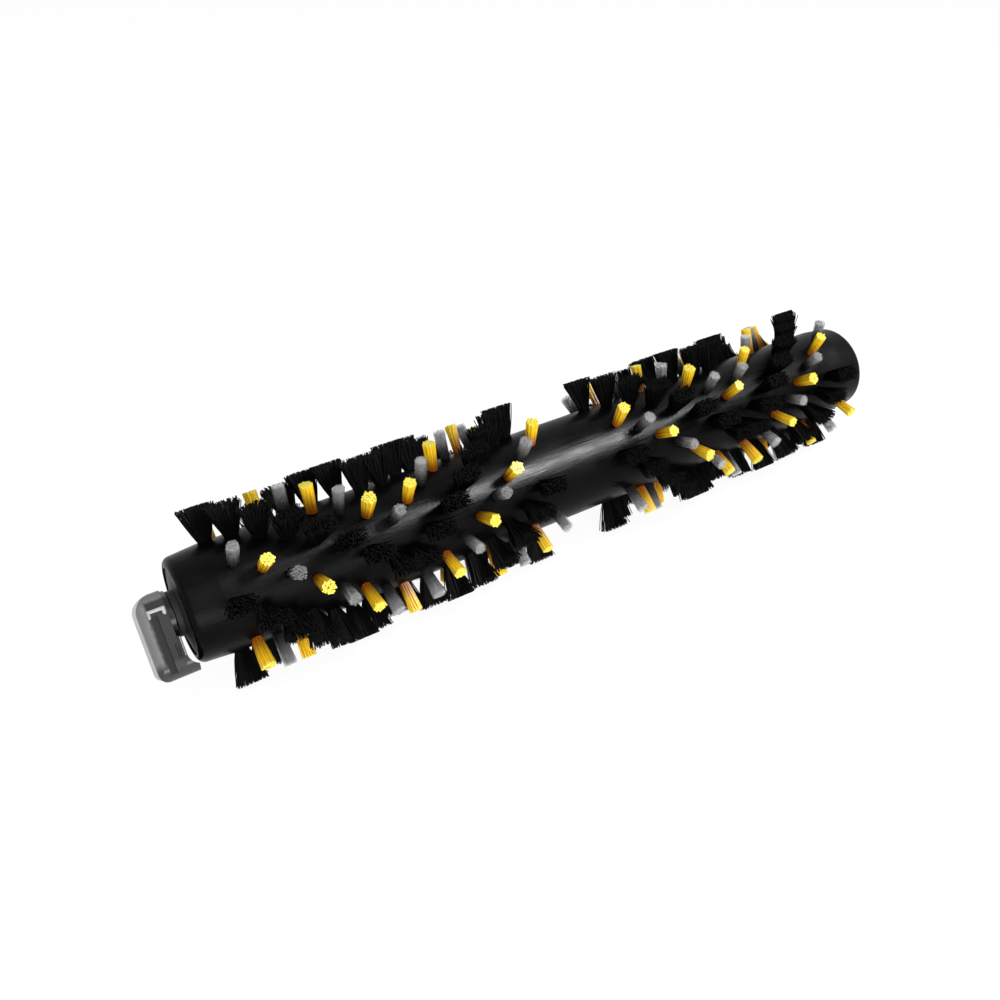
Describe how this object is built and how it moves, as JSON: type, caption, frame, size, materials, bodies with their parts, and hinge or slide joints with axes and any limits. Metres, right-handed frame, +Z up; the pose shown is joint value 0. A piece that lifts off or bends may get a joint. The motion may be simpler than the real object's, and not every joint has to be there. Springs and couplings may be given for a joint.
{
  "type": "floor scrubber roller brush",
  "caption": "Cylindrical scrubbing brush with chevron rows of fan-shaped and narrow bristle tufts, a ball-bearing end block that slides into a slot, and a hexagonal drive socket.",
  "frame": {"origin": "on the brush axis, in the middle plane of the bearing block's slide groove", "axes": "+X along the brush axis from the bearing block to the drive end, +Z up"},
  "size_m": [0.3234, 0.0636, 0.0636],
  "materials": {
    "core": "glossy black moulded plastic",
    "black_bristle": "fine crimped black nylon bristle",
    "yellow_bristle": "translucent yellow nylon bristle, cut tips",
    "grey_bristle": "translucent grey nylon bristle, cut tips",
    "end_plug": "glossy black moulded plastic",
    "block_plastic": "satin smoke-grey translucent plastic",
    "retainer_plastic": "satin black plastic",
    "axle_steel": "turned steel",
    "clip_steel": "blued spring steel",
    "bearing_steel": "ground bearing steel",
    "cage_brass": "pressed brass",
    "anchor_metal": "drawn brass strip",
    "seal_rubber": "matt black rubber"
  },
  "bodies": {
    "idler_block": {"bearing_block": "block_plastic", "bearing_retainer": "retainer_plastic", "bearing_outer_ring": "bearing_steel", "bearing_shields": "seal_rubber", "dust_seal": "seal_rubber"},
    "roller": {"core_tube": "core", "idler_plug": "end_plug", "drive_plug": "end_plug", "stub_axle": "axle_steel", "retaining_clip": "clip_steel", "bearing_inner_ring": "bearing_steel", "tuft_anchors_left": "anchor_metal", "tuft_anchors_right": "anchor_metal", "black_tufts_left_1": "black_bristle", "black_tufts_left_2": "black_bristle", "black_tufts_left_3": "black_bristle", "black_tufts_left_4": "black_bristle", "black_tufts_right_1": "black_bristle", "black_tufts_right_2": "black_bristle", "black_tufts_right_3": "black_bristle", "black_tufts_right_4": "black_bristle", "yellow_tufts_left_1": "yellow_bristle", "yellow_tufts_left_2": "yellow_bristle", "yellow_tufts_left_3": "yellow_bristle", "yellow_tufts_left_4": "yellow_bristle", "yellow_tufts_right_1": "yellow_bristle", "yellow_tufts_right_2": "yellow_bristle", "yellow_tufts_right_3": "yellow_bristle", "yellow_tufts_right_4": "yellow_bristle", "grey_tufts_left_1": "grey_bristle", "grey_tufts_left_2": "grey_bristle", "grey_tufts_left_3": "grey_bristle", "grey_tufts_left_4": "grey_bristle", "grey_tufts_right_1": "grey_bristle", "grey_tufts_right_2": "grey_bristle", "grey_tufts_right_3": "grey_bristle", "grey_tufts_right_4": "grey_bristle"},
    "ball_cage": {"bearing_cage": "cage_brass", "bearing_balls": "bearing_steel"}
  },
  "joints": [
    {"name": "brush_spin", "type": "hinge", "parent": "idler_block", "child": "roller", "pos_m": [0, 0, 0], "axis": [1, 0, 0], "continuous": true},
    {"name": "cage_orbit", "type": "hinge", "parent": "idler_block", "child": "ball_cage", "pos_m": [0, 0, 0], "axis": [1, 0, 0], "continuous": true}
  ],
  "couplings": [
    {"joint": "cage_orbit", "follows": "brush_spin", "ratio": 0.40476}
  ]
}
